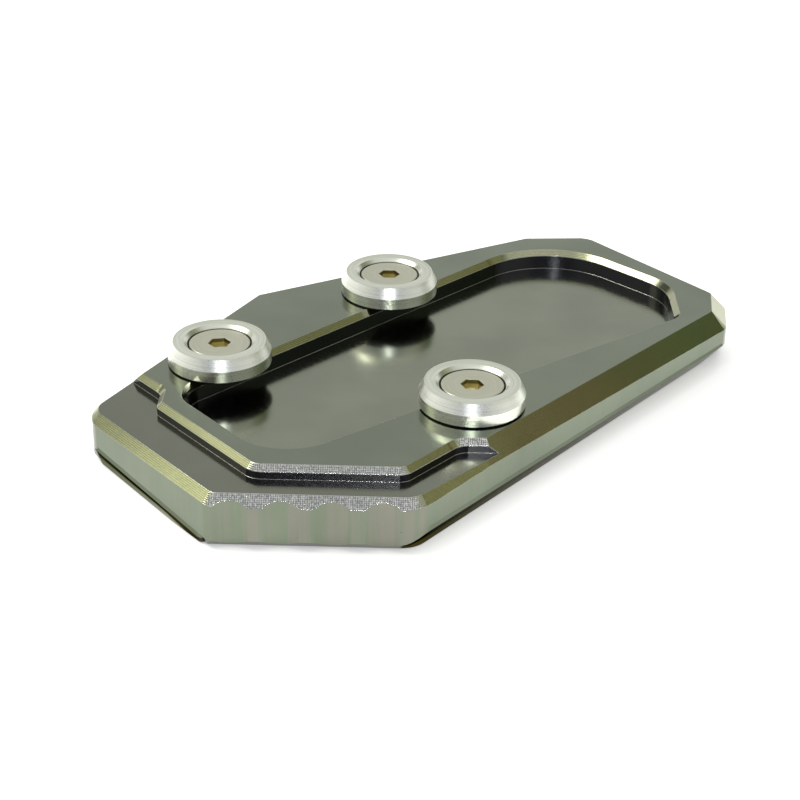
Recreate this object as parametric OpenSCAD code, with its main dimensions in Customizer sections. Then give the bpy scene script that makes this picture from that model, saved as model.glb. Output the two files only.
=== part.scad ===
// Foot enlarger for a motorbike side stand.
// A thick metal foot plate takes the end of the stand in a shallow pocket, and three
// countersunk washers, each pulled down by its own screw, clamp over the edge of the stand.
//
// Every side of the plate and of its pocket is written as the direction in which the side
// faces, in degrees from +X, and its reach, the distance from the drawing point to the side.

/* [Pocket for the stand] */
// Depth of the pocket
pocket_depth = 4.16; // [2:0.02:6]
// Chamfer on the pocket's rim
pocket_chamfer = 1.13; // [0.3:0.01:1.5]
// Reach of the pocket's near wall
pocket_near_reach = 4; // [2:0.1:8]
// Direction of the pocket's near wall
pocket_near_dir = 308.6; // [306:0.1:311]
// Reach of the pocket's right end wall
pocket_right_reach = 57.3; // [50:0.1:66]
// Reach of the pocket's far wall
pocket_far_reach = 80.2; // [74:0.1:88]
// Direction of the pocket's far wall
pocket_far_dir = 46.1; // [44:0.1:48]
// Reach of the pocket's long left wall
pocket_left_reach = 31.9; // [28:0.1:36]
// Direction of the pocket's long left wall
pocket_left_dir = 136.5; // [134:0.1:139]
// Reach of the pocket's end wall behind the left front side
pocket_end_reach = 31.3; // [27:0.1:36]
// Corner radius between the far and the right wall
pocket_right_r = 12; // [4:0.1:14]
// Corner radius between the left and the far wall
pocket_far_r = 17.7; // [8:0.1:20]
// Corner radius between the right and the near wall
pocket_near_r = 4; // [2:0.1:8]
// Corner radius between the near and the end wall
pocket_front_r = 10.6; // [4:0.1:12]
// Corner radius between the end and the left wall
pocket_tip_r = 6.2; // [3:0.1:8]

/* [Foot plate] */
// Thickness of the plate
plate_t = 13; // [11:0.5:18]
// Width of metal from the pocket to the back left side, where it is least
back_left_rim = 14.5; // [12:0.1:18]
// Direction of the back left side
back_left_dir = 152.6; // [150:0.1:155]
// Width of metal from the pocket to the back side, where it is least
back_rim = 9.7; // [7:0.1:12]
// Direction of the back side
back_dir = 120.4; // [118:0.1:123]
// Width of metal from the pocket to the top side, where it is least
top_rim = 10.9; // [9:0.1:13]
// Direction of the top side
top_dir = 94.6; // [92:0.1:97]
// Width of metal from the pocket to the far right side, where it is least
far_right_rim = 8.25; // [6:0.05:10]
// Direction of the far right side
far_right_dir = 40.1; // [38:0.1:43]
// Width of metal from the pocket to the right end, where it is least
right_end_rim = 11.25; // [9:0.05:13]
// Direction of the right end
right_end_dir = -6.6; // [-9:0.1:-4]
// Width of metal from the pocket to the right front side, where it is least
right_rim = 8.15; // [7:0.05:10]
// Direction of the right front side
right_dir = -40.8; // [-43:0.1:-39]
// Direction of the left front side
left_front_dir = 221; // [218:0.5:224]
// Corner radius between the left front side and the front
front_left_r = 4; // [3:0.1:6]
// Corner radius between the front and the right front side
front_right_r = 7; // [6:0.1:9]
// Corner radius at the left tip
left_tip_r = 6; // [5:0.1:8]
// Corner radius between the far right and the top side
far_corner_r = 8; // [4.2:0.1:9]
// Radius of the other corners
back_corner_r = 5; // [4.2:0.1:8]

/* [Step in front of the deck] */
// Drop from the deck to the step
step_drop = 2.56; // [1.5:0.02:3.2]
// Width of the step along the left front side
step_left = 9.9; // [8:0.1:12]
// Width of the step along the front
step_front = 6.9; // [5:0.1:9]
// Width of the step along the right front side
step_right = 6.3; // [5:0.1:8]
// Width of the deck between the pocket's end wall and the step
deck_left_rim = 5.6; // [4.5:0.1:8]
// Width of the deck between the pocket's end wall and the setback at the left tip
setback_rim = 2; // [1.5:0.1:3]
// Width of the deck between the pocket and the front wall, where it is least
deck_front_rim = 7.75; // [5:0.05:10]
// Distance from the left screw to the short wall that leads to the setback
jog_from_screw = 10.2; // [9:0.1:12]
// Distance from the right screw to the short front wall beside it
notch_from_screw = 14.5; // [13:0.1:16]
// Chamfer on the deck's edge above the step
step_chamfer = 1.08; // [0.4:0.02:1.4]
// Corner radius at both ends of the short wall that leads to the setback
deck_corner_r = 2.4; // [1.6:0.1:4]
// Corner radius at the deck's left front corner
deck_left_r = 4.4; // [1.6:0.1:6]
// Corner radius at the deck's right front corner
deck_nose_r = 3.4; // [1.4:0.1:5]
// Corner radius of the inner corner beside the short front wall
notch_r = 4; // [1.6:0.1:5]

/* [Edges of the plate] */
// Width of the big bevel round the raised deck
deck_bevel = 3.4; // [2:0.1:4]
// Width of the chamfer on the left front side
left_chamfer = 1.75; // [1:0.05:2.5]
// Width of the chamfer at the left end of the front
front_chamfer_left = 2.1; // [1:0.05:2.5]
// Width of the chamfer at the right end of the front
front_chamfer_right = 1.7; // [1:0.05:2.5]
// Turn of the chamfer on the right front side, out of line with that side
right_chamfer_turn = 2.6; // [1:0.1:4]
// Distance in front of the short front wall at which that chamfer meets the big bevel
right_merge = 2.6; // [1.5:0.1:5]
// Width of the chamfer round the underside
under_chamfer = 1.6; // [0.5:0.1:2.5]
// Height of the underside bevel on the right front side, near the front
right_under_near = 4; // [2:0.1:5]
// Height of the underside bevel on the right front side, at the right end
right_under_far = 6.3; // [3:0.1:7]
// Height of the underside bevel on the left front side, near the front
left_under_near = 1.5; // [1:0.1:3]
// Height of the underside bevel on the left front side, at the left tip
left_under_far = 3.9; // [2:0.1:5]

/* [Flutes in the front] */
// Number of flutes
flute_count = 4; // [0:1:4]
// Distance between two flutes
flute_pitch = 9.05; // [8:0.05:9.5]
// Place of the row of flutes, from the middle of the front
flute_shift = -1.2; // [-2:0.05:2]
// Radius of the cutter for a flute
flute_r = 5.65; // [4:0.05:8]
// Depth of a flute
flute_depth = 1.02; // [0.3:0.02:1.4]

/* [Clamp washers] */
// Outer diameter of a washer
washer_d = 20.4; // [19:0.1:22]
// Height of a washer
washer_h = 4.7; // [4.4:0.1:6]
// Height of a washer's straight side
washer_side_h = 2.6; // [1:0.1:3.5]
// Diameter of a washer's flat top
washer_top_d = 18.3; // [16:0.1:18.8]
// Diameter of a washer's countersink at the top
sink_d = 14.1; // [13.2:0.1:15]
// Chamfer under a washer
washer_foot_chamfer = 0.35; // [0.1:0.05:0.6]
// Distance from the pocket's left wall out to the left screw
left_out = 4; // [3.6:0.05:5]
// Place of the left screw along the pocket's left wall
left_along = 14.05; // [12:0.05:16]
// Distance from the pocket's left wall out to the back screw
back_out = 4.35; // [3.6:0.05:5]
// Place of the back screw along the pocket's left wall
back_along = -33.7; // [-36:0.1:-31]
// Distance from the pocket's near wall out to the right screw
right_out = 4.95; // [4:0.05:6]
// Place of the right screw along the pocket's near wall
right_along = 10.25; // [8:0.05:12]

/* [Screws] */
// Thread diameter of a screw
screw_d = 6; // [5:0.5:6]
// Diameter of a screw's head
screw_head_d = 12; // [11:0.5:12]
// Height of the straight edge of a screw's head
head_land = 0.38; // [0.1:0.02:0.6]
// Length of a screw with its head
screw_len = 12; // [10:1:16]
// Hexagon socket, across its flats
socket_af = 4; // [3:0.5:5]
// Depth of the hexagon socket
socket_depth = 2.4; // [1.5:0.1:2.8]
// Turn of the left screw's socket
left_socket_turn = 12; // [0:1:59]
// Turn of the back screw's socket
back_socket_turn = 0; // [0:1:59]
// Turn of the right screw's socket
right_socket_turn = 57; // [0:1:59]
// Radial gap between a screw's thread and the plate's tapped hole
thread_gap = 0.05; // [0.02:0.01:0.1]
// Radial gap between a screw and its washer's hole
washer_gap = 0.2; // [0.1:0.05:0.4]

/* [Hidden] */
$fn = 96;

// over is how far a cutting shape runs past the surface it opens on
over = 0.2;
// ease is how far the round of a corner stands proud of its sides, so that their faces
// cross cleanly, and cut_ease the same for the chamfer round that corner
ease = 0.02;
cut_ease = 0.05;
// lap is how far neighbouring cuts of one edge run into each other, in mm and in degrees
lap = 1;
lap_turn = 20;
big = 300;

// The plan of the pocket, anticlockwise from its near wall
near_wall = [pocket_near_dir, pocket_near_reach];
left_wall = [360 + pocket_left_dir, pocket_left_reach];
pocket_sides = [near_wall, [360, pocket_right_reach], [360 + pocket_far_dir, pocket_far_reach],
                left_wall, [360 + left_front_dir, pocket_end_reach]];
pocket_radii = [pocket_near_r, pocket_right_r, pocket_far_r, pocket_tip_r, pocket_front_r];

// The screws stand just outside the pocket's walls
left_place = beside(left_wall, left_out, left_along);
back_place = beside(left_wall, back_out, back_along);
right_place = beside(near_wall, right_out, right_along);

// The deck's walls above the step, anticlockwise from the left tip
deck_left_reach = pocket_end_reach + deck_left_rim;
deck_front_reach = pocket_span(270) + deck_front_rim;
right_reach = pocket_span(right_dir) + right_rim;
notch_reach = notch_from_screw - right_place.y;
deck_walls = [[left_front_dir, pocket_end_reach + setback_rim],
              [180, jog_from_screw - left_place.x],
              [left_front_dir, deck_left_reach],
              [270, deck_front_reach],
              [360 + right_dir, right_reach - step_right],
              [270, notch_reach]];
// A negative radius is an inner corner's
deck_radii = [-deck_corner_r, deck_corner_r, deck_left_r, deck_nose_r, -notch_r];

// The plan of the plate, anticlockwise from the front
front_reach = deck_front_reach + step_front;
front_side = [270, front_reach];
right_side = [360 + right_dir, right_reach];
right_end_side = [360 + right_end_dir, pocket_span(right_end_dir) + right_end_rim];
far_right_side = [360 + far_right_dir, pocket_span(far_right_dir) + far_right_rim];
top_side = [360 + top_dir, pocket_span(top_dir) + top_rim];
back_side = [360 + back_dir, pocket_span(back_dir) + back_rim];
back_left_side = [360 + back_left_dir, pocket_span(back_left_dir) + back_left_rim];
left_front_side = [360 + left_front_dir, deck_left_reach + step_left];
plate_sides = [front_side, right_side, right_end_side, far_right_side,
               top_side, back_side, back_left_side, left_front_side];
plate_radii = [front_right_r, back_corner_r, back_corner_r, far_corner_r,
               back_corner_r, back_corner_r, left_tip_r, front_left_r];

step_z = plate_t - step_drop;
washer_r = washer_d / 2;
hole_r = screw_d / 2 + thread_gap;
head_r = screw_head_d / 2;
head_z = washer_h - (sink_d / 2 - head_r) + head_land;

// The middle of the plate's outline becomes the part's own origin
left_tip = corner_centre(back_left_side, left_front_side, left_tip_r);
right_tip = corner_centre(right_end_side, far_right_side, back_corner_r);
far_tip = corner_centre(far_right_side, top_side, far_corner_r);
middle_x = (left_tip.x - left_tip_r + right_tip.x + back_corner_r) / 2;
middle_y = (far_tip.y + far_corner_r - front_reach) / 2;

// The direction of a side as a unit arrow
function arrow(a) = [cos(a), sin(a)];

// The point where two sides meet
function meet(s, t) = [(s[1] * sin(t[0]) - t[1] * sin(s[0])) / sin(t[0] - s[0]),
                       (t[1] * cos(s[0]) - s[1] * cos(t[0])) / sin(t[0] - s[0])];

// A side moved outwards
function moved(s, by) = [s[0], s[1] + by];

// The point beside a wall, out from it and along it
function beside(wall, out, along) = (wall[1] + out) * arrow(wall[0])
                                    + along * arrow(wall[0] + 90);

// How far the pocket reaches in a direction
function pocket_span(a) = max([for (i = [0:4])
    corner_centre(pocket_sides[i], pocket_sides[i == 4 ? 0 : i + 1], pocket_radii[i])
    * arrow(a) + pocket_radii[i]]);

// The centre of the round that joins two sides
function corner_centre(s, t, r) = meet(moved(s, -r), moved(t, -r));

// The point where that round touches a side
function touch(s, t, r, side) = corner_centre(s, t, r) + r * arrow(side[0]);

// What lies between two sides and the round of their corner
module corner_waste(s, t, r) {
    c = corner_centre(s, t, r);
    way = sign(r);
    difference() {
        polygon([c, c + (r + way) * arrow(s[0]), meet(moved(s, way), moved(t, way)),
                 c + (r + way) * arrow(t[0])]);
        translate(c) circle(abs(r) + ease);
    }
}

// A closed plan with straight sides and rounded outer corners
module rounded_plan(sides, radii) {
    last = len(sides) - 1;
    difference() {
        polygon([for (i = [0:last]) meet(sides[i], sides[i == last ? 0 : i + 1])]);
        for (i = [0:last]) corner_waste(sides[i], sides[i == last ? 0 : i + 1], radii[i]);
    }
}

// A section carried along a wall from one point to another; the section's x points out
module along_wall(wall, from, to) {
    translate([to.x, to.y, 0]) rotate([90, 0, wall[0]])
        linear_extrude(height = norm(to - from)) children();
}

// A section carried round an outer corner
module round_corner(s, t, r, spread = 0) {
    turn = t[0] > s[0] ? t[0] - s[0] : t[0] - s[0] + 360;
    translate(corner_centre(s, t, r)) rotate([0, 0, s[0] - spread])
        rotate_extrude(angle = turn + 2 * spread) translate([r + cut_ease, 0]) children();
}

// A section carried round an inner corner, whose radius r is negative
module round_inner_corner(s, t, r) {
    translate(corner_centre(s, t, r)) rotate([0, 0, t[0] + 180 - lap_turn])
        rotate_extrude(angle = s[0] - t[0] + 2 * lap_turn)
            translate([cut_ease - r, 0]) mirror([1, 0]) children();
}

// Everything beyond a plane through a point, on the side the arrow points to
module beyond(point, out) {
    translate(point) rotate([0, acos(out.z / norm(out)), atan2(out.y, out.x)])
        translate([-big / 2, -big / 2, 0]) cube([big, big, big / 2]);
}

// A straight 45 degree bevel along a side, whose upper edge lies at height z
module top_bevel(side, z) {
    p = side[1] * arrow(side[0]);
    beyond([p.x, p.y, z], [cos(side[0]), sin(side[0]), 1]);
}

// The section of a 45 degree chamfer on an outer edge at height z
module edge_section(width, z) {
    polygon([[-width - over, z + over], [over, z + over], [over, z - width - over]]);
}

// The section of a 45 degree chamfer on the rim of a pocket at height z
module rim_section(width, z) {
    polygon([[-over, z - width - over], [width + over, z + over], [-over, z + over]]);
}

// The section of a 45 degree cut whose upper edge lies at height z
module bevel_section(z) {
    polygon([[-over, z + over], [4, z + over], [4, z - 4]]);
}

// The cone that joins two bevels round a corner, with its upper edge at height z
module bevel_cone(s, t, r, z) {
    round_corner(s, t, r) bevel_section(z);
}

// The lower bevel of a side: a plane through two points of the side's face
module under_bevel(side, a, a_height, b, b_height, lean) {
    along = [b.x - a.x, b.y - a.y, b_height - a_height];
    inwards = [-lean * cos(side[0]), -lean * sin(side[0]), -1];
    out = cross(inwards, along);
    beyond([a.x, a.y, a_height], out.z < 0 ? out : -out);
}

// The deck's plan above the step
module deck_plan() {
    far = big / 2;
    difference() {
        polygon(concat([for (i = [0:4]) meet(deck_walls[i], deck_walls[i + 1])],
                       [[far, -notch_reach], [far, far], [-far, far],
                        meet(deck_walls[0], [180, far])]));
        for (i = [0:4])
            if (deck_radii[i] > 0)
                corner_waste(deck_walls[i], deck_walls[i + 1], deck_radii[i]);
    }
    for (i = [0:4])
        if (deck_radii[i] < 0)
            corner_waste(deck_walls[i], deck_walls[i + 1], deck_radii[i]);
}

// The chamfer on the deck's edge above the step
module deck_edge() {
    for (i = [0:5]) {
        wall = deck_walls[i];
        start = i == 0
            ? touch(wall, deck_walls[1], deck_radii[0], wall) + 20 * arrow(wall[0] - 90)
            : touch(deck_walls[i - 1], wall, deck_radii[i - 1], wall);
        end = i == 5
            ? start + 20 * arrow(wall[0] + 90)
            : touch(wall, deck_walls[i + 1], deck_radii[i], wall);
        // Only the end at an outer corner runs on into the corner
        back = i > 0 && deck_radii[max(i - 1, 0)] > 0 ? lap : 0;
        on = i < 5 && deck_radii[min(i, 4)] > 0 ? lap : 0;
        along_wall(wall, start + back * arrow(wall[0] - 90), end + on * arrow(wall[0] + 90))
            edge_section(step_chamfer, plate_t);
        if (i < 5 && deck_radii[min(i, 4)] > 0)
            round_corner(wall, deck_walls[i + 1], deck_radii[i])
                edge_section(step_chamfer, plate_t);
        else if (i < 5)
            round_inner_corner(wall, deck_walls[i + 1], deck_radii[i])
                edge_section(step_chamfer, plate_t);
    }
}

// The space in front of the deck, down to the step
module step_space() {
    difference() {
        translate([-big / 2, -big / 2, step_z]) cube([big, big, big / 2]);
        translate([0, 0, step_z - 1]) linear_extrude(height = big) deck_plan();
    }
    deck_edge();
}

// The big bevel round the raised deck
module deck_bevels() {
    for (side = [right_side, right_end_side, far_right_side, top_side, back_side,
                 back_left_side])
        top_bevel(moved(side, -deck_bevel), plate_t);
    for (i = [1:5])
        round_corner(plate_sides[i], plate_sides[i + 1], plate_radii[i])
            edge_section(deck_bevel, plate_t);
}

// The chamfers along the step's outer edge, joined by cones at the three corners
module step_bevels() {
    front_run = front_side[1] * 2;
    front_turn = atan((front_chamfer_left - front_chamfer_right) / front_run);
    front_edge = [270 - front_turn, front_reach * cos(front_turn)
                  - front_chamfer_right - front_run / 4 * sin(front_turn)];
    left_edge = moved(left_front_side, -left_chamfer);
    tip_edge = moved(back_left_side, step_drop - deck_bevel);
    merge = meet([right_side[0], right_reach + step_drop - deck_bevel],
                 [270, notch_reach + right_merge]);
    right_edge = [right_side[0] - right_chamfer_turn,
                  merge * arrow(right_side[0] - right_chamfer_turn)];
    top_bevel(front_edge, step_z);
    top_bevel(left_edge, step_z);
    right_cone_r = front_right_r - front_chamfer_right;
    along_wall(right_edge,
               touch(front_edge, right_edge, right_cone_r, right_edge)
               + lap * arrow(right_edge[0] - 90), merge + 3 * arrow(right_edge[0] + 90))
        bevel_section(step_z);
    bevel_cone(tip_edge, left_edge, left_tip_r - 1.3, step_z);
    bevel_cone(moved(left_edge, 0), [front_edge[0] + 360, front_edge[1]],
               front_left_r - left_chamfer, step_z);
    bevel_cone(front_edge, right_edge, right_cone_r, step_z);
}

// The bevels and chamfers under the plate
module under_bevels() {
    for (side = [front_side, right_end_side, far_right_side, top_side, back_side,
                 back_left_side]) {
        p = (side[1] - under_chamfer) * arrow(side[0]);
        beyond([p.x, p.y, 0], [cos(side[0]), sin(side[0]), -1]);
    }
    under_bevel(right_side, meet(front_side, right_side), right_under_near,
                meet(right_side, right_end_side), right_under_far, 0.9);
    under_bevel(left_front_side, meet(left_front_side, front_side), left_under_near,
                meet(back_left_side, left_front_side), left_under_far, 0.45);
}

// The flutes cut down the front
module flutes() {
    middle = (meet(left_front_side, front_side).x + meet(front_side, right_side).x) / 2;
    if (flute_count > 0)
        for (i = [0:flute_count - 1])
            translate([middle + flute_shift + (i - (flute_count - 1) / 2) * flute_pitch,
                       flute_depth - flute_r - front_reach, -1])
                cylinder(r = flute_r, h = plate_t + 2);
}

// The pocket that takes the end of the stand
module pocket() {
    last = len(pocket_sides) - 1;
    translate([0, 0, plate_t - pocket_depth])
        linear_extrude(height = pocket_depth + 1) rounded_plan(pocket_sides, pocket_radii);
    for (i = [0:last]) {
        s = pocket_sides[i];
        before = i == 0 ? last : i - 1;
        after = i == last ? 0 : i + 1;
        r0 = pocket_radii[before];
        r1 = pocket_radii[i];
        along_wall(s, touch(pocket_sides[before], s, r0, s),
                   touch(s, pocket_sides[after], r1, s))
            rim_section(pocket_chamfer, plate_t);
        round_corner(s, pocket_sides[after], r1, lap_turn)
            rim_section(pocket_chamfer, plate_t);
    }
}

module base_plate() {
    color([0.55, 0.57, 0.50]) translate([-middle_x, -middle_y, 0]) difference() {
        linear_extrude(height = plate_t) rounded_plan(plate_sides, plate_radii);
        step_space();
        deck_bevels();
        step_bevels();
        under_bevels();
        flutes();
        pocket();
        for (p = [left_place, back_place, right_place])
            translate([p.x, p.y, -1]) cylinder(r = hole_r, h = plate_t + 2);
    }
}

// A thick washer with a bevelled edge and a countersunk hole
module clamp_washer(place) {
    sink_r = sink_d / 2;
    bore_r = screw_d / 2 + washer_gap;
    color([0.82, 0.83, 0.78])
        translate([place.x - middle_x, place.y - middle_y, plate_t])
            rotate_extrude()
                polygon([[bore_r, 0], [washer_r - washer_foot_chamfer, 0],
                         [washer_r, washer_foot_chamfer], [washer_r, washer_side_h],
                         [washer_top_d / 2, washer_h], [sink_r, washer_h],
                         [bore_r, washer_h - sink_r + bore_r]]);
}

// A countersunk screw with a hexagon socket
module clamp_screw(place, turn) {
    tip = 0.6;
    color([0.72, 0.70, 0.62])
        translate([place.x - middle_x, place.y - middle_y, plate_t + head_z])
            difference() {
                rotate_extrude()
                    polygon([[0, 0], [head_r - 0.1, 0], [head_r, -0.1],
                             [head_r, -head_land],
                             [screw_d / 2, screw_d / 2 - head_r - head_land],
                             [screw_d / 2, tip - screw_len],
                             [screw_d / 2 - tip, -screw_len], [0, -screw_len]]);
                translate([0, 0, -socket_depth]) rotate([0, 0, turn])
                    cylinder(d = socket_af / cos(30), h = socket_depth + 1, $fn = 6);
            }
}

module clamp_washer_left() { clamp_washer(left_place); }
module clamp_washer_back() { clamp_washer(back_place); }
module clamp_washer_right() { clamp_washer(right_place); }
module clamp_screw_left() { clamp_screw(left_place, left_socket_turn); }
module clamp_screw_back() { clamp_screw(back_place, back_socket_turn); }
module clamp_screw_right() { clamp_screw(right_place, right_socket_turn); }

base_plate();
clamp_washer_left();
clamp_washer_back();
clamp_washer_right();
clamp_screw_left();
clamp_screw_back();
clamp_screw_right();
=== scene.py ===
import math

import bpy
import numpy as np
from mathutils import Matrix, Vector


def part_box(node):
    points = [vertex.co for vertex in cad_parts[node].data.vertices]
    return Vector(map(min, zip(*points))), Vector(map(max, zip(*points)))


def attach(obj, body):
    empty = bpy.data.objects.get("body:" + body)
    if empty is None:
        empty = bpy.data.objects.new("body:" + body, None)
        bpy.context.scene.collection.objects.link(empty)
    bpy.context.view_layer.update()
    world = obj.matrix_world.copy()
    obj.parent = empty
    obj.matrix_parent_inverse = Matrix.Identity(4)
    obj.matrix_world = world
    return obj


mm = 0.001

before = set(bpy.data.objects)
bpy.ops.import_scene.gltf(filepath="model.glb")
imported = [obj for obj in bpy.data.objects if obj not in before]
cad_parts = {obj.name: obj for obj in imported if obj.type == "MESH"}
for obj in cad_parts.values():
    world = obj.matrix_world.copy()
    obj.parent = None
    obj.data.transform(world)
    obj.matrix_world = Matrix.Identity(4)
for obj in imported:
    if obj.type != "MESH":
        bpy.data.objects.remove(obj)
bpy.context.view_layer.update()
print("frame loaded")


# Small helpers for shader nodes

def makeMaterial(name):
    material = bpy.data.materials.new(name)
    material.use_nodes = True
    material.node_tree.nodes.clear()
    return material, material.node_tree


def addNode(tree, kind, x, y, **settings):
    node = tree.nodes.new(kind)
    node.location = (x, y)
    for key, value in settings.items():
        setattr(node, key, value)
    return node


def feed(tree, node, socket, value):   # links a socket, or sets a plain value on it
    if isinstance(value, bpy.types.NodeSocket):
        tree.links.new(value, node.inputs[socket])
    else:
        node.inputs[socket].default_value = value


def calc(tree, x, y, operation, *values, clamp=False):
    node = addNode(tree, "ShaderNodeMath", x, y, operation=operation, use_clamp=clamp)
    for i, value in enumerate(values):
        feed(tree, node, i, value)
    return node.outputs[0]


def mixColors(tree, x, y, factor, a, b, blend="MIX"):
    node = addNode(tree, "ShaderNodeMix", x, y, data_type="RGBA", blend_type=blend)
    for i, value in ((0, factor), (6, a), (7, b)):
        if not isinstance(value, bpy.types.NodeSocket) and i > 0:
            value = (*value, 1.0)
        feed(tree, node, i, value)
    return node.outputs[2]


def mixValues(tree, x, y, factor, a, b):
    node = addNode(tree, "ShaderNodeMix", x, y, data_type="FLOAT")
    for i, value in ((0, factor), (2, a), (3, b)):
        feed(tree, node, i, value)
    return node.outputs[0]


def ramp(tree, x, y, value, low, high, toLow=0.0, toHigh=1.0, smooth=True):
    node = addNode(tree, "ShaderNodeMapRange", x, y, clamp=True)
    node.interpolation_type = "SMOOTHSTEP" if smooth else "LINEAR"
    feed(tree, node, "Value", value)
    for name, number in (("From Min", low), ("From Max", high),
                         ("To Min", toLow), ("To Max", toHigh)):
        feed(tree, node, name, number)
    return node.outputs[0]


def makeGroup(name, inputs, outputs):
    group = bpy.data.node_groups.new(name, "ShaderNodeTree")
    for label, kind, value in inputs:
        socket = group.interface.new_socket(label, in_out="INPUT", socket_type=kind)
        if value is not None:
            socket.default_value = value
    for label, kind in outputs:
        group.interface.new_socket(label, in_out="OUTPUT", socket_type=kind)
    start = addNode(group, "NodeGroupInput", -1400, 0)
    return group, start, addNode(group, "NodeGroupOutput", 900, 0)


def useGroup(tree, group, x, y, **values):
    node = addNode(tree, "ShaderNodeGroup", x, y)
    node.node_tree = group
    for key, value in values.items():
        feed(tree, node, key, value)
    return node


def grey(tree, x, y, value):   # a colour of three equal parts
    node = addNode(tree, "ShaderNodeCombineColor", x, y)
    for i in range(3):
        tree.links.new(value, node.inputs[i])
    return node.outputs[0]


def roundedEdge(tree, radius):   # the normal, turned over within this many metres of an edge
    node = addNode(tree, "ShaderNodeBevel", -600, -500)
    node.samples = 6
    node.inputs["Radius"].default_value = radius
    return node.outputs[0]


def finishMetal(tree, color, rough, relief, normal, grazingColor=(1.0, 1.0, 1.0)):
    bump = addNode(tree, "ShaderNodeBump", -300, -500)
    bump.inputs["Strength"].default_value = 1.0
    bump.inputs["Distance"].default_value = mm
    tree.links.new(relief, bump.inputs["Height"])
    tree.links.new(normal, bump.inputs["Normal"])
    shader = addNode(tree, "ShaderNodeBsdfPrincipled", 0, 0)
    shader.inputs["Metallic"].default_value = 1.0
    shader.inputs["Specular Tint"].default_value = (*grazingColor, 1.0)
    tree.links.new(color, shader.inputs["Base Color"])
    tree.links.new(rough, shader.inputs["Roughness"])
    tree.links.new(bump.outputs[0], shader.inputs["Normal"])
    end = addNode(tree, "ShaderNodeOutputMaterial", 300, 0)
    tree.links.new(shader.outputs[0], end.inputs[0])


# Shader effects that more than one material uses

def buildFaceSides():   # where the surface stands in mm, and which way it faces
    group, start, end = makeGroup(
        "faceSides", [("Vector", "NodeSocketVector", None), ("Normal", "NodeSocketVector", None)],
        [("Place", "NodeSocketVector"), ("Height", "NodeSocketFloat"),
         ("Flat", "NodeSocketFloat"), ("Upright", "NodeSocketFloat"),
         ("Under", "NodeSocketFloat"), ("Forward", "NodeSocketFloat"),
         ("Inward", "NodeSocketFloat")])
    scale = addNode(group, "ShaderNodeVectorMath", -1100, 200, operation="SCALE")
    group.links.new(start.outputs["Vector"], scale.inputs[0])
    scale.inputs["Scale"].default_value = 1.0 / mm
    spot = addNode(group, "ShaderNodeSeparateXYZ", -900, 200)
    group.links.new(scale.outputs[0], spot.inputs[0])
    face = addNode(group, "ShaderNodeSeparateXYZ", -900, -200)
    group.links.new(start.outputs["Normal"], face.inputs[0])
    tilt = calc(group, -700, -200, "ABSOLUTE", face.outputs["Z"])
    group.links.new(scale.outputs[0], end.inputs["Place"])
    group.links.new(spot.outputs["Z"], end.inputs["Height"])
    group.links.new(ramp(group, -400, 100, face.outputs["Z"], 0.93, 0.98), end.inputs["Flat"])
    group.links.new(ramp(group, -400, -100, tilt, 0.14, 0.05), end.inputs["Upright"])
    group.links.new(ramp(group, -400, -300, face.outputs["Z"], -0.15, -0.30), end.inputs["Under"])
    group.links.new(calc(group, -400, -500, "MULTIPLY", face.outputs["Y"], -1.0),
                    end.inputs["Forward"])
    outward = addNode(group, "ShaderNodeVectorMath", -700, -700, operation="DOT_PRODUCT")
    group.links.new(scale.outputs[0], outward.inputs[0])
    group.links.new(start.outputs["Normal"], outward.inputs[1])
    group.links.new(ramp(group, -400, -700, outward.outputs["Value"], -1.0, -4.0),
                    end.inputs["Inward"])
    return group


def buildGrain():   # fine machining grain and broad clouds, from a place in mm
    group, start, end = makeGroup(
        "machiningGrain",
        [("Place", "NodeSocketVector", None), ("Stretch", "NodeSocketVector", (1, 1, 1)),
         ("Turn", "NodeSocketFloat", 0.0), ("Fineness", "NodeSocketFloat", 2.0)],
        [("Grain", "NodeSocketFloat"), ("Cloud", "NodeSocketFloat")])
    turn = addNode(group, "ShaderNodeVectorRotate", -1200, 100, rotation_type="Z_AXIS")
    group.links.new(start.outputs["Place"], turn.inputs["Vector"])
    group.links.new(start.outputs["Turn"], turn.inputs["Angle"])
    stretch = addNode(group, "ShaderNodeVectorMath", -1000, 100, operation="MULTIPLY")
    group.links.new(turn.outputs[0], stretch.inputs[0])
    group.links.new(start.outputs["Stretch"], stretch.inputs[1])
    fine = addNode(group, "ShaderNodeTexNoise", -800, 100)
    fine.inputs["Detail"].default_value = 3.0
    fine.inputs["Roughness"].default_value = 0.65
    group.links.new(stretch.outputs[0], fine.inputs["Vector"])
    group.links.new(start.outputs["Fineness"], fine.inputs["Scale"])
    cloud = addNode(group, "ShaderNodeTexNoise", -800, -200)
    cloud.inputs["Scale"].default_value = 0.045
    cloud.inputs["Detail"].default_value = 3.0
    group.links.new(start.outputs["Place"], cloud.inputs["Vector"])
    group.links.new(fine.outputs["Fac"], end.inputs["Grain"])
    group.links.new(cloud.outputs["Fac"], end.inputs["Cloud"])
    return group


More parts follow.
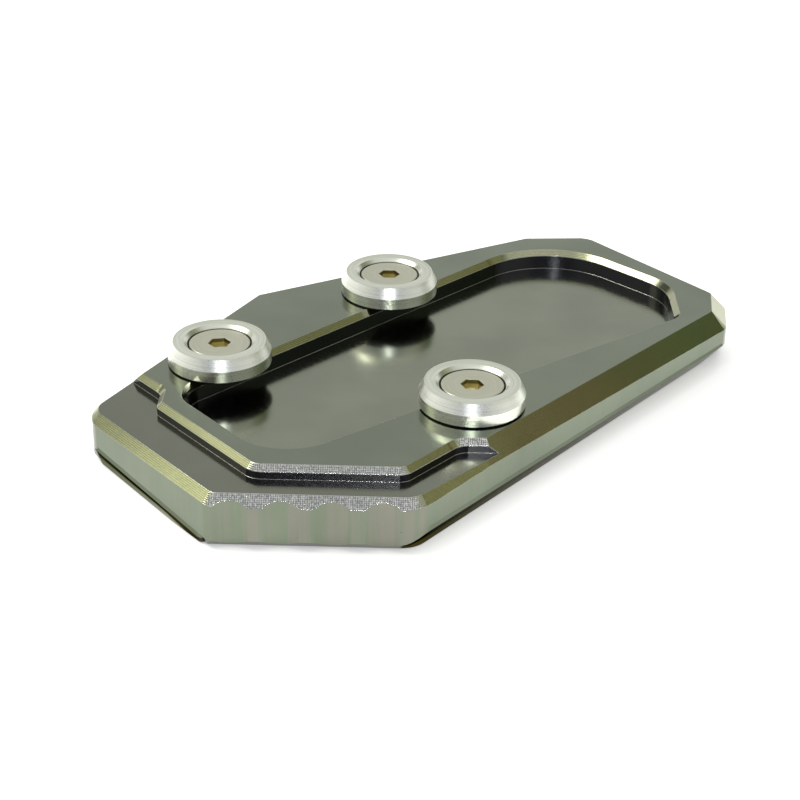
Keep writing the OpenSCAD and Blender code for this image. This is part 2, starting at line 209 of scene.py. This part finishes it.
def buildTurning():   # the rings that a lathe leaves round an axis, from a place in mm
    group, start, end = makeGroup(
        "turnedRings",
        [("Place", "NodeSocketVector", None), ("Pitch", "NodeSocketFloat", 0.25)],
        [("Ring", "NodeSocketFloat"), ("Radius", "NodeSocketFloat"),
         ("Fleck", "NodeSocketFloat")])
    spot = addNode(group, "ShaderNodeSeparateXYZ", -1200, 0)
    group.links.new(start.outputs["Place"], spot.inputs[0])
    radius = calc(group, -900, 200, "SQRT", calc(
        group, -1000, 200, "ADD", calc(group, -1100, 300, "MULTIPLY", spot.outputs["X"],
                                       spot.outputs["X"]),
        calc(group, -1100, 100, "MULTIPLY", spot.outputs["Y"], spot.outputs["Y"])))
    sweep = calc(group, -900, -100, "ARCTAN2", spot.outputs["Y"], spot.outputs["X"])
    profile = addNode(group, "ShaderNodeCombineXYZ", -600, 200)   # along the turned profile
    group.links.new(calc(group, -750, 300, "DIVIDE", radius, start.outputs["Pitch"]),
                    profile.inputs["X"])
    group.links.new(calc(group, -750, 150, "DIVIDE", spot.outputs["Z"], start.outputs["Pitch"]),
                    profile.inputs["Y"])
    group.links.new(calc(group, -750, 0, "MULTIPLY", sweep, 0.6), profile.inputs["Z"])
    ring = addNode(group, "ShaderNodeTexNoise", -400, 200)
    ring.inputs["Scale"].default_value = 1.0
    ring.inputs["Detail"].default_value = 2.0
    group.links.new(profile.outputs[0], ring.inputs["Vector"])
    fleck = addNode(group, "ShaderNodeTexNoise", -400, -200)
    fleck.inputs["Scale"].default_value = 4.0
    fleck.inputs["Detail"].default_value = 3.0
    group.links.new(start.outputs["Place"], fleck.inputs["Vector"])
    group.links.new(ring.outputs["Fac"], end.inputs["Ring"])
    group.links.new(radius, end.inputs["Radius"])
    group.links.new(fleck.outputs["Fac"], end.inputs["Fleck"])
    return group


faceSides = buildFaceSides()
machiningGrain = buildGrain()
turnedRings = buildTurning()


# The foot plate: milled, then anodised a dark titanium grey

plate = {
    "deckColor": (0.300, 0.330, 0.262),
    "floorColor": (0.360, 0.380, 0.310),     # the floor of the pocket
    "stepColor": (0.285, 0.292, 0.240),
    "wallShadeColor": (0.075, 0.074, 0.088),      # painted shade on the walls of the pocket and of the deck
    # painted shade: the outer sides take a darker copy of the deck's anodised grey
    "sideShadeColor": (0.196, 0.226, 0.170),
    "sideStreak": (0.236, 0.232, 0.195),     # upright feed marks on the outer sides
    # painted light: the chamfers take a lighter copy of the anodised grey
    "bevelLitColor": (0.430, 0.437, 0.300),
    "frontBevelDark": (0.330, 0.330, 0.340),     # between the cross marks
    "frontBevelGlint": (0.880, 0.890, 0.850),    # painted glint on them
    "underShadeColor": (0.040, 0.037, 0.027),     # painted shade on the bevels under the plate
    "edgeHighlightColor": (0.800, 0.810, 0.760),      # painted highlight along an edge
    "deckRoughness": 0.15,
    "sideRoughness": 0.17,
    "bevelRoughness": 0.12,
    "stepHeights": (9.6, 11.6),              # mm, below the first is the pocket's floor
    "grainDepth": 0.0010,                    # mm
    "edgeRound": 0.00020,                    # m, the broken edges
    "edgeShare": (0.32, 0.00, 0.95),         # of that painted highlight: in general, outside, at the front
    "edgeHeights": (2.0, 3.0),               # mm, where it begins above the foot
    "rowPitch": 0.26,                        # mm of height between the passes along a chamfer
    "rowDepth": 0.004,                       # mm
    "rowShade": 0.10,                        # how much lighter and darker the passes are
    "frontRowDepth": 0.006,                  # mm, on the chamfers that face the front
    "feedPitch": 0.40,                       # mm, between the cross marks on those
    "crossShares": (0.42, 0.34, 0.75),       # of feeds, passes and unevenness in the marks
    "frontEnd": -30.0,                       # mm, the cross marks lie in front of this
    "grazingColor": (1.0, 1.0, 1.0),         # tints what is seen at a flat angle
}


def buildPlateMaterial(name, look):
    material, tree = makeMaterial(name)
    coords = addNode(tree, "ShaderNodeTexCoord", -2600, 0)
    geometry = addNode(tree, "ShaderNodeNewGeometry", -2600, -300)
    sides = useGroup(tree, faceSides, -2400, 0, Vector=coords.outputs["Object"],
                     Normal=geometry.outputs["True Normal"])
    place, height = sides.outputs["Place"], sides.outputs["Height"]
    flat, upright, under = (sides.outputs[k] for k in ("Flat", "Upright", "Under"))
    forward, inward = sides.outputs["Forward"], sides.outputs["Inward"]
    spot = addNode(tree, "ShaderNodeSeparateXYZ", -2400, -700)
    tree.links.new(place, spot.inputs[0])
    front = calc(tree, -2000, -250, "MULTIPLY", ramp(tree, -2200, -100, forward, 0.60, 0.66),
                 ramp(tree, -2200, -250, spot.outputs["Y"], look["frontEnd"] + 1,
                      look["frontEnd"] - 1))
    tilted = calc(tree, -2000, -500, "SUBTRACT",
                  calc(tree, -2150, -500, "SUBTRACT", 1.0, flat), upright, clamp=True)
    low, high = look["stepHeights"]
    inner = calc(tree, -2000, -100, "MAXIMUM", inward,   # the walls of the pocket and the deck
                 ramp(tree, -2200, 100, height, low + 0.15, low + 0.35))

    deckGrain = useGroup(tree, machiningGrain, -2000, 500, Place=place, Turn=0.78,
                         Stretch=(0.25, 1.0, 1.0), Fineness=1.6)
    sideGrain = useGroup(tree, machiningGrain, -2000, 250, Place=place,
                         Stretch=(1.0, 1.0, 0.03), Fineness=0.32)
    fineGrain = useGroup(tree, machiningGrain, -2000, 0, Place=place,
                         Stretch=(1.0, 1.0, 0.08), Fineness=3.2)

    # The passes of the cutter along each chamfer, and the marks across the front ones
    uneven = ramp(tree, -1800, -1100, fineGrain.outputs["Grain"], 0.30, 0.70, -1.0, 1.0)
    rows = calc(tree, -1800, -700, "SINE",
                calc(tree, -2000, -700, "MULTIPLY", height, 2 * math.pi / look["rowPitch"]))
    feeds = calc(tree, -1800, -900, "SINE",
                 calc(tree, -2000, -900, "MULTIPLY", spot.outputs["X"],
                      2 * math.pi / look["feedPitch"]))
    ofFeeds, ofRows, ofUneven = look["crossShares"]
    cross = calc(tree, -1600, -900, "MULTIPLY_ADD", feeds, ofFeeds,
                 calc(tree, -1700, -1000, "MULTIPLY_ADD", rows, ofRows,
                      calc(tree, -1800, -1200, "MULTIPLY", uneven, ofUneven)))
    # where the painted glints lie on the cross marks
    glintOnMarks = ramp(tree, -1450, -900, cross, -0.70, 1.10)

    # Colour, by level and by the way the face points: the walls, outer sides, chamfers and bevels
    # underneath get darker and lighter copies of the anodised grey, painted shade and painted
    # light
    top = mixColors(tree, -1500, 600, ramp(tree, -1700, 600, height, low - 0.3, low + 0.3),
                    look["floorColor"], look["stepColor"])
    top = mixColors(tree, -1300, 600, ramp(tree, -1700, 400, height, high - 0.3, high + 0.3),
                    top, look["deckColor"])
    streak = calc(tree, -1550, 200, "MULTIPLY",
                  ramp(tree, -1700, 200, sideGrain.outputs["Grain"], 0.42, 0.60),
                  ramp(tree, -1700, 50, forward, 0.70, 0.85, 0.25, 1.0))
    # painted shade: the outer sides' darker copy of the anodised grey, with their feed marks
    side = mixColors(tree, -1300, 300, streak, look["sideShadeColor"], look["sideStreak"])
    # painted shade on the walls of the pocket and the deck
    side = mixColors(tree, -1150, 300, inner, side, look["wallShadeColor"])
    # painted glints on the cross marks of the chamfers that face the front
    frontBevel = mixColors(tree, -1450, 0, glintOnMarks, look["frontBevelDark"],
                           look["frontBevelGlint"])
    passes = calc(tree, -1600, -300, "MULTIPLY_ADD", rows, look["rowShade"],
                  calc(tree, -1700, -300, "MULTIPLY_ADD", uneven, look["rowShade"], 1.0))
    # painted light: the chamfers' lighter copy of the anodised grey, with the passes of the cutter
    bevel = mixColors(tree, -1450, 150, 1.0, look["bevelLitColor"],
                      grey(tree, -1450, -200, passes), "MULTIPLY")
    bevel = mixColors(tree, -1300, 100, front, bevel, frontBevel)
    # painted shade on the bevels under the plate
    bevel = mixColors(tree, -1150, 100, under, bevel, look["underShadeColor"])
    color = mixColors(tree, -1000, 300, upright, bevel, side)
    color = mixColors(tree, -800, 300, flat, color, top)
    shade = ramp(tree, -1000, 0, deckGrain.outputs["Cloud"], 0.30, 0.70, 0.91, 1.06)
    color = mixColors(tree, -600, 300, 1.0, color, grey(tree, -800, 0, shade), "MULTIPLY")
    if "dropShadeColors" in look:   # painted shade on the bevel of a lower edge piece, darkest at its crease, and a painted reflection of the floor towards its foot
        drop = addNode(tree, "ShaderNodeAttribute", -1200, 1100, attribute_name="drop")
        creaseShade = mixColors(tree, -800, 1000, ramp(tree, -1000, 1100, drop.outputs["Fac"],
                                                0.25, 0.60), *look["dropShadeColors"])
        color = mixColors(tree, -600, 800, ramp(tree, -800, 800, drop.outputs["Fac"],
                                                0.0, 0.01), color, creaseShade)

    rough = mixValues(tree, -1000, -200, upright, look["bevelRoughness"], look["sideRoughness"])
    rough = mixValues(tree, -800, -200, flat, rough, look["deckRoughness"])
    rough = calc(tree, -600, -200, "MULTIPLY", rough,
                 ramp(tree, -800, -400, deckGrain.outputs["Grain"], 0.30, 0.70, 0.85, 1.20))

    # Relief in mm
    depth = mixValues(tree, -1200, -900, front, calc(tree, -1350, -700, "MULTIPLY", rows,
                                                     look["rowDepth"]),
                      calc(tree, -1300, -1000, "MULTIPLY", cross, look["frontRowDepth"]))
    grain = calc(tree, -1000, -1000, "MULTIPLY", fineGrain.outputs["Grain"],
                 look["grainDepth"])
    marks = calc(tree, -800, -1000, "MULTIPLY", calc(tree, -900, -900, "ADD", depth, grain),
                 tilted)
    brushed = calc(tree, -800, -1200, "MULTIPLY", deckGrain.outputs["Grain"],
                   calc(tree, -1000, -1300, "MULTIPLY", flat, look["grainDepth"]))
    relief = calc(tree, -600, -900, "ADD", marks, brushed)

    # A painted highlight: a fine light line where the normal turns over an edge
    edge = roundedEdge(tree, look["edgeRound"])
    bend = addNode(tree, "ShaderNodeVectorMath", -400, -700, operation="DOT_PRODUCT")
    tree.links.new(edge, bend.inputs[0])
    tree.links.new(geometry.outputs["True Normal"], bend.inputs[1])
    anywhere, outside, atFront = look["edgeShare"]
    outer = calc(tree, -600, -900, "SUBTRACT", upright, inner, clamp=True)
    lit = mixValues(tree, -400, -900, outer, anywhere, outside)
    lit = mixValues(tree, -400, -1050, calc(tree, -600, -1050, "MULTIPLY", front, tilted),
                    lit, atFront)
    lit = calc(tree, -300, -950, "MULTIPLY", lit,
               ramp(tree, -450, -1200, height, *look["edgeHeights"]))
    paintedEdgeLine = calc(tree, -200, -700, "MULTIPLY", lit,
                ramp(tree, -300, -700, bend.outputs["Value"], 0.995, 0.96))
    color = mixColors(tree, -200, 300, paintedEdgeLine, color, look["edgeHighlightColor"])
    finishMetal(tree, color, rough, relief, edge, look["grazingColor"])
    return material


# The clamp washers: bare aluminium, turned on a lathe

washer = {
    "color": (0.930, 0.945, 0.870),
    "dullColor": (0.800, 0.820, 0.720),      # the fine rings between the bright ones
    "footShadeColor": (0.050, 0.050, 0.045),      # painted shade on the chamfer under the washer
    "grooveShadeColor": (0.040, 0.040, 0.035),    # painted shade deep in the countersink, beside the head
    "grooveRadius": 6.36,                    # mm, where that painted shade lies
    "roughness": 0.30,
    "topRoughness": 0.42,
    "ringPitch": 0.22,                       # mm
    "ringDepth": 0.0006,                     # mm
    "edgeRound": 0.0,                        # m
}


# The countersunk screws: plain stainless steel

screw = {
    "color": (0.740, 0.735, 0.610),
    "dullColor": (0.690, 0.680, 0.560),
    "socketLitColor": (0.800, 0.740, 0.460),    # painted light deep in the hexagon socket
    "socketRimShade": (0.230, 0.210, 0.115),      # painted shade just below its rim
    "socketDepths": (0.7, 1.1),              # mm, from the one colour to the other
    "roughness": 0.34,
    "topRoughness": 0.38,
    "socketRadius": 2.4,                     # mm
    "ringPitch": 0.30,                       # mm
    "ringDepth": 0.0015,                     # mm
    "edgeRound": 0.00018,                    # m
}


def buildTurnedMetal(name, look, axis, headTop):
    material, tree = makeMaterial(name)
    coords = addNode(tree, "ShaderNodeTexCoord", -2000, 0)
    centre = addNode(tree, "ShaderNodeMapping", -1800, 0)
    centre.inputs["Location"].default_value = (-axis[0] / mm, -axis[1] / mm, 0.0)
    centre.inputs["Scale"].default_value = (1 / mm, 1 / mm, 1 / mm)
    tree.links.new(coords.outputs["Object"], centre.inputs["Vector"])
    turned = useGroup(tree, turnedRings, -1500, 0, Place=centre.outputs[0],
                      Pitch=look["ringPitch"])
    ring, radius, fleck = (turned.outputs[k] for k in ("Ring", "Radius", "Fleck"))
    color = mixColors(tree, -900, 200, ramp(tree, -1100, 200, ring, 0.38, 0.62),
                      look["dullColor"], look["color"])
    if "socketLitColor" in look:
        spot = addNode(tree, "ShaderNodeSeparateXYZ", -1500, -400)
        tree.links.new(centre.outputs[0], spot.inputs[0])
        inside = calc(tree, -1000, -300, "MULTIPLY",
                      ramp(tree, -1200, -300, radius, look["socketRadius"] + 0.1,
                           look["socketRadius"] - 0.1),
                      ramp(tree, -1200, -500, spot.outputs["Z"], headTop - 0.05,
                           headTop - 0.25))
        shallow, deep = look["socketDepths"]
        # painted light deep in the hexagon socket and painted shade just below its rim
        socket = mixColors(tree, -900, -600, ramp(tree, -1200, -700, spot.outputs["Z"],
                                                  headTop - deep, headTop - shallow),
                           look["socketLitColor"], look["socketRimShade"])
        color = mixColors(tree, -700, 200, inside, color, socket)
    geometry = addNode(tree, "ShaderNodeNewGeometry", -2000, -700)
    sides = useGroup(tree, faceSides, -1800, -700, Vector=coords.outputs["Object"],
                     Normal=geometry.outputs["True Normal"])
    # painted shade on the washer's foot chamfer and deep in the countersink
    if "footShadeColor" in look:
        color = mixColors(tree, -500, 200, sides.outputs["Under"], color, look["footShadeColor"])
        # painted shade in the gap beside the screw head
        color = mixColors(tree, -350, 200, ramp(tree, -600, 400, radius,
                                                look["grooveRadius"] + 0.06,
                                                look["grooveRadius"] - 0.06),
                          color, look["grooveShadeColor"])
    rough = calc(tree, -900, -100, "MULTIPLY",
                 ramp(tree, -1100, -100, fleck, 0.30, 0.70, 0.9, 1.15),
                 mixValues(tree, -1100, -250, sides.outputs["Flat"], look["roughness"],
                           look["topRoughness"]))
    relief = calc(tree, -700, -300, "MULTIPLY", ring, look["ringDepth"])
    finishMetal(tree, color, rough, relief, roundedEdge(tree, look["edgeRound"]))
    return material


def dress(name, material):
    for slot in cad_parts[name].material_slots:
        slot.material = material


dress("base_plate", buildPlateMaterial("plate_anodised", plate))
for place in ("left", "back", "right"):
    low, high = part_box("clamp_washer_" + place)
    axis = ((low[0] + high[0]) / 2, (low[1] + high[1]) / 2)
    dress("clamp_washer_" + place,
          buildTurnedMetal("washer_turned_" + place, washer, axis, high[2] / mm))
    low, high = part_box("clamp_screw_" + place)
    dress("clamp_screw_" + place,
          buildTurnedMetal("screw_steel_" + place, screw, axis, high[2] / mm))
print("plate, washers and screws dressed")


# The lower edge of the plate: on both front sides the bevel under the plate leans in less
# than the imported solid's, and it turns the corners in a round

lowerEdge = {
    # Each side: the way it faces in degrees and its reach from the origin in mm, the same for
    # the sides before and after it, the two corner radii, and the angles at which the piece
    # starts and ends on those rounds. Then, at its front and far end in mm: the height of the
    # bevel, how far it leans in on the floor, and the height of the solid's own bevel. The
    # bevel's height and lean on the front itself, and how light the painted shade at the foot
    # is there. Last, the bevel's painted shade colours, from its crease to its foot.
    "right": {"side": (319.2, 37.181), "front": (270.0, 58.808), "far": (353.4, 60.668),
              "radii": (7.0, 5.0), "angles": (270.0, 342.0),
              "height": (3.40, 5.90), "lean": (1.62, 4.85), "solidHeight": (4.0, 6.3),
              "frontHeight": 1.60, "frontLean": 1.60, "frontDrop": 1.0,
              "dropShadeColors": ((0.050, 0.046, 0.036), (0.200, 0.180, 0.118))},
    "left": {"side": (221.0, 67.848), "front": (270.0, 58.808), "far": (152.6, 44.899),
             "radii": (8.0, 6.0), "angles": (244.0, 186.0),
             "height": (0.85, 3.30), "lean": (-0.25, 1.08), "solidHeight": (1.5, 3.9),
             "frontHeight": 1.44, "frontLean": 1.48, "frontDrop": 0.2,
             "dropShadeColors": ((0.060, 0.055, 0.040), (0.420, 0.430, 0.350))},
    "proud": 0.015,      # how far the piece stands out of the solid's side, in mm
    "cover": 0.3,        # how far it reaches up over the solid's own edge
    "depth": 4.0,        # how far it reaches into the solid
    "sink": 1.2,         # how far its far end dives into the solid
    "sinkRows": 8,       # over this many points of its path
    "leastLean": 0.06,
    "foot": 0.01,        # how high it ends above the floor
    "fadeRows": 8,       # after the front round, the foot takes its painted colour in these
    "sharpAngle": 5,     # degrees between faces, above which an edge stays sharp
    "steps": (19, 25, 15),   # points on the front round, the straight and the far round
    "finish": {"edgeRound": 0.0, "grazingColor": (0.25, 0.25, 0.22)},   # apart from the plate's
}


def sweepLowerEdge(edge, look):
    # A five-sided section carried along a side and round its two corners. The path is
    # centre + radius * (cos a, sin a) on the rounds and a straight line between them, and each
    # section is a row of (offset along the side's outward normal, height above the floor).
    def arrow(angle):
        return np.stack([np.cos(np.radians(angle)), np.sin(np.radians(angle))], axis=-1)

    def roundCentre(neighbour, radius):   # behind both sides by the radius
        return np.linalg.solve(arrow(np.array([edge["side"][0], neighbour[0]])),
                               np.array([edge["side"][1], neighbour[1]]) - radius)

    facing = edge["side"][0]
    centres = [roundCentre(edge[k], r) for k, r in zip(("front", "far"), edge["radii"])]
    onFront, onLine, onFar = look["steps"]
    frontAngles = np.linspace(edge["angles"][0], facing, onFront)
    farAngles = np.linspace(facing, edge["angles"][1], onFar)
    normals = arrow(np.concatenate([frontAngles, np.full(onLine, facing), farAngles]))
    share = np.linspace(0, 1, onLine + 2)[1:-1, None]
    frontPath = centres[0] + edge["radii"][0] * arrow(frontAngles)
    farPath = centres[1] + edge["radii"][1] * arrow(farAngles)
    path = np.concatenate([frontPath, (1 - share) * frontPath[-1] + share * farPath[0], farPath])

    along = arrow(facing + 90)
    t = (path - frontPath[-1]) @ along / ((farPath[0] - frontPath[-1]) @ along)
    t = np.clip(t, 0, 1)                                # 0 at the front corner, 1 at the far one
    count = np.arange(len(path))
    fromFront = np.clip(count / (onFront - 1), 0, 1)    # the part on the front round
    fromFront = fromFront * fromFront * (3 - 2 * fromFront)
    height = edge["height"][0] + t * (edge["height"][1] - edge["height"][0])
    height = edge["frontHeight"] + fromFront * (height - edge["frontHeight"])
    lean = edge["lean"][0] + t * (edge["lean"][1] - edge["lean"][0])
    lean = edge["frontLean"] + fromFront * (lean - edge["frontLean"])
    lean = np.maximum(lean, look["leastLean"])
    solid = edge["solidHeight"][0] + t * (edge["solidHeight"][1] - edge["solidHeight"][0])
    top = np.maximum(solid, height) + look["cover"]
    face = (look["proud"] * (2 * fromFront - 1)   # it starts just inside the front
            - look["sink"] * np.clip(1 - count[::-1] / look["sinkRows"], 0, 1) ** 2)
    floor = np.full(len(path), look["foot"])
    offsets = np.stack([face, face, face - lean, face - lean - look["depth"],
                        face - look["depth"]], axis=1)
    heights = np.stack([top, height, floor, floor, top], axis=1)
    return np.concatenate([path[:, None, :] + offsets[:, :, None] * normals[:, None, :],
                           heights[:, :, None]], axis=2) * mm


def buildLowerEdge(name, edge, look):
    points = sweepLowerEdge(edge, look)
    rows, columns = points.shape[:2]
    index = np.arange(rows * columns).reshape(rows, columns)
    following = np.roll(index, -1, axis=1)
    quads = np.stack([index[:-1], index[1:], following[1:], following[:-1]], axis=2)
    faces = quads.reshape(-1, 4).tolist() + [index[0].tolist(), index[-1][::-1].tolist()]
    if edge["angles"][1] > edge["angles"][0]:   # so that the faces point outwards
        faces = [face[::-1] for face in faces]
    mesh = bpy.data.meshes.new(name)
    mesh.from_pydata(points.reshape(-1, 3).tolist(), [], faces)
    drop = mesh.attributes.new("drop", "FLOAT", "POINT")   # 0 at the crease, 1 on the floor
    onFront = look["steps"][0]
    fade = np.interp(np.arange(rows), (onFront, onFront + look["fadeRows"]),
                     (edge["frontDrop"], 1.0))
    drop.data.foreach_set("value", np.outer(fade, [0.0, 0.0, 1.0, 1.0, 0.0]).ravel())
    mesh.update()
    mesh.polygons.foreach_set("use_smooth", np.ones(len(mesh.polygons), dtype=bool))
    mesh.set_sharp_from_angle(angle=math.radians(look["sharpAngle"]))
    piece = bpy.data.objects.new(name, mesh)
    bpy.context.collection.objects.link(piece)
    finish = {**plate, **look["finish"], "dropShadeColors": edge["dropShadeColors"]}
    mesh.materials.append(buildPlateMaterial(name + "_finish", finish))
    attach(piece, "root")


for place in ("left", "right"):
    buildLowerEdge("plate_lower_edge_" + place, lowerEdge[place], lowerEdge)
print("lower edges built")


# The studio: a pale paper floor, a soft room, a window on the left and a lamp at the camera

studio = {
    "roomColor": (0.50, 0.51, 0.49),
    "horizonColor": (0.90, 0.90, 0.88),       # pale behind the object, seen from a low place
    "zenithColor": (0.74, 0.75, 0.72),
    # Soft patches of the room: direction, inner and outer half angle in degrees, colour
    "patches": [
        ((0.0, 0.88, 0.47), 20, 34, (0.57, 0.585, 0.560)),
        ((0.80, 0.26, 0.50), 16, 28, (0.120, 0.160, 0.080)),
        ((0.790, 0.100, 0.600), 6.0, 11.0, (0.380, 0.370, 0.230)),
        ((0.812, 0.250, 0.526), 1.2, 4.0, (0.330, 0.190, 0.130)),
        ((-0.690, 0.560, 0.470), 7.0, 15.0, (0.130, 0.135, 0.120)),
        ((0.0, -0.90, 0.40), 18, 40, (0.30, 0.31, 0.36)),
        ((-0.835, 0.340, 0.430), 3, 8, (0.330, 0.350, 0.240)),
        ((-0.866, 0.130, 0.482), 3, 9.5, (1.75, 1.78, 1.28)),
        ((-0.81, -0.10, 0.585), 4.0, 7.0, (0.01, 0.01, 0.01)),
        ((-0.430, -0.120, 0.890), 5, 12, (1.40, 1.45, 1.20)),
    ],
    "floorColor": (0.84, 0.85, 0.82),
    "floorGlow": 0.60,                        # the paper's own light, for the eye and the metal
    "shadowReach": 0.004,                     # m, how far the object darkens that light
    "shadowShare": 0.5,
    "windowPlace": (-0.68, 0.09, 0.88),       # m
    "windowSize": 0.54,
    "windowWatts": 4.6,
    "windowColor": (1.0, 0.98, 0.90),
    "flashPlace": (0.005, -0.36, 0.255),      # the lamp at the camera
    "flashSize": 0.05,
    "flashWatts": 0.30,
    "flashColor": (0.93, 0.95, 1.0),
}


def buildRoom(look):
    world = bpy.data.worlds.new("studio")
    bpy.context.scene.world = world
    world.use_nodes = True
    tree = world.node_tree
    tree.nodes.clear()
    coords = addNode(tree, "ShaderNodeTexCoord", -1800, 0)
    spot = addNode(tree, "ShaderNodeSeparateXYZ", -1600, 200)
    tree.links.new(coords.outputs["Generated"], spot.inputs[0])
    color = mixColors(tree, -1200, 200, ramp(tree, -1400, 200, spot.outputs["Z"], 0.22, 0.36),
                      look["horizonColor"], look["roomColor"])
    color = mixColors(tree, -1000, 200, ramp(tree, -1400, 0, spot.outputs["Z"], 0.55, 0.95),
                      color, look["zenithColor"])
    for i, (direction, inner, outer, patchColor) in enumerate(look["patches"]):
        toward = addNode(tree, "ShaderNodeVectorMath", -1400, -300 - 250 * i,
                         operation="DOT_PRODUCT")
        tree.links.new(coords.outputs["Generated"], toward.inputs[0])
        toward.inputs[1].default_value = Vector(direction).normalized()
        mask = ramp(tree, -1200, -300 - 250 * i, toward.outputs["Value"],
                    math.cos(math.radians(outer)), math.cos(math.radians(inner)))
        color = mixColors(tree, -800 + 160 * i, 200, mask, color, patchColor)
    room = addNode(tree, "ShaderNodeBackground", 400, 0)
    tree.links.new(color, room.inputs["Color"])
    end = addNode(tree, "ShaderNodeOutputWorld", 650, 0)
    tree.links.new(room.outputs[0], end.inputs[0])


def buildFloor(look):
    mesh = bpy.data.meshes.new("floor")
    mesh.from_pydata([(-3, -3, -0.0003), (3, -3, -0.0003), (3, 3, -0.0003), (-3, 3, -0.0003)],
                     [], [(0, 1, 2, 3)])
    floor = bpy.data.objects.new("floor", mesh)
    bpy.context.collection.objects.link(floor)
    material, tree = makeMaterial("floor_paper")
    paper = addNode(tree, "ShaderNodeBsdfDiffuse", 0, 0)
    paper.inputs["Color"].default_value = (*look["floorColor"], 1)
    glow = addNode(tree, "ShaderNodeEmission", 0, -200)   # lights nothing, only seen
    glow.inputs["Color"].default_value = (1, 1, 1, 1)
    path = addNode(tree, "ShaderNodeLightPath", -400, 200)
    seen = calc(tree, -300, 0, "MAXIMUM", path.outputs["Is Camera Ray"],
                calc(tree, -400, 0, "MAXIMUM", path.outputs["Is Glossy Ray"],
                     path.outputs["Is Transmission Ray"]))
    closeBy = addNode(tree, "ShaderNodeAmbientOcclusion", -600, -300, samples=6)
    closeBy.inputs["Distance"].default_value = look["shadowReach"]
    strength = ramp(tree, -400, -200, closeBy.outputs["AO"], 0.0, 1.0,
                    look["floorGlow"] * (1 - look["shadowShare"]), look["floorGlow"], smooth=False)
    tree.links.new(calc(tree, -200, 0, "MULTIPLY", seen, strength), glow.inputs["Strength"])
    both = addNode(tree, "ShaderNodeAddShader", 250, 0)
    tree.links.new(paper.outputs[0], both.inputs[0])
    tree.links.new(glow.outputs[0], both.inputs[1])
    end = addNode(tree, "ShaderNodeOutputMaterial", 450, 0)
    tree.links.new(both.outputs[0], end.inputs[0])
    mesh.materials.append(material)


def placeLamp(name, center, size, watts, color):
    data = bpy.data.lights.new(name, "AREA")
    data.shape = "SQUARE"
    data.size = size
    data.energy = watts
    data.color = color
    lamp = bpy.data.objects.new(name, data)
    lamp.location = center
    lamp.rotation_euler = (-Vector(center)).to_track_quat("-Z", "Y").to_euler()
    bpy.context.collection.objects.link(lamp)


camera = {
    "eye": (-4.240, -320.902, 171.022),   # mm
    "aim": (-5.618, -25.682, 13.0),       # mm, a point on the deck
    "roll": 1.25,                          # degrees
    "lens": 79.34,
    "sensor": 36.0,
}


def placeCamera(look):
    eye = Vector(look["eye"]) * mm
    back = (eye - Vector(look["aim"]) * mm).normalized()
    right = Vector((0, 0, 1)).cross(back).normalized()
    upward = back.cross(right)
    roll = math.radians(look["roll"])
    rolledRight = math.cos(roll) * right + math.sin(roll) * upward
    rolledUp = math.cos(roll) * upward - math.sin(roll) * right
    data = bpy.data.cameras.new("camera")
    data.lens = look["lens"]
    data.sensor_width = look["sensor"]
    data.clip_start = 0.01
    data.clip_end = 20.0
    eyePiece = bpy.data.objects.new("camera", data)
    turn = Matrix((rolledRight, rolledUp, back)).transposed().to_4x4()
    eyePiece.matrix_world = Matrix.Translation(eye) @ turn
    bpy.context.collection.objects.link(eyePiece)
    bpy.context.scene.camera = eyePiece


buildRoom(studio)
buildFloor(studio)
placeLamp("lamp_window", studio["windowPlace"], studio["windowSize"], studio["windowWatts"],
          studio["windowColor"])
placeLamp("lamp_camera", studio["flashPlace"], studio["flashSize"], studio["flashWatts"],
          studio["flashColor"])
placeCamera(camera)
bpy.context.scene.view_settings.view_transform = "Standard"
print("studio and camera set")
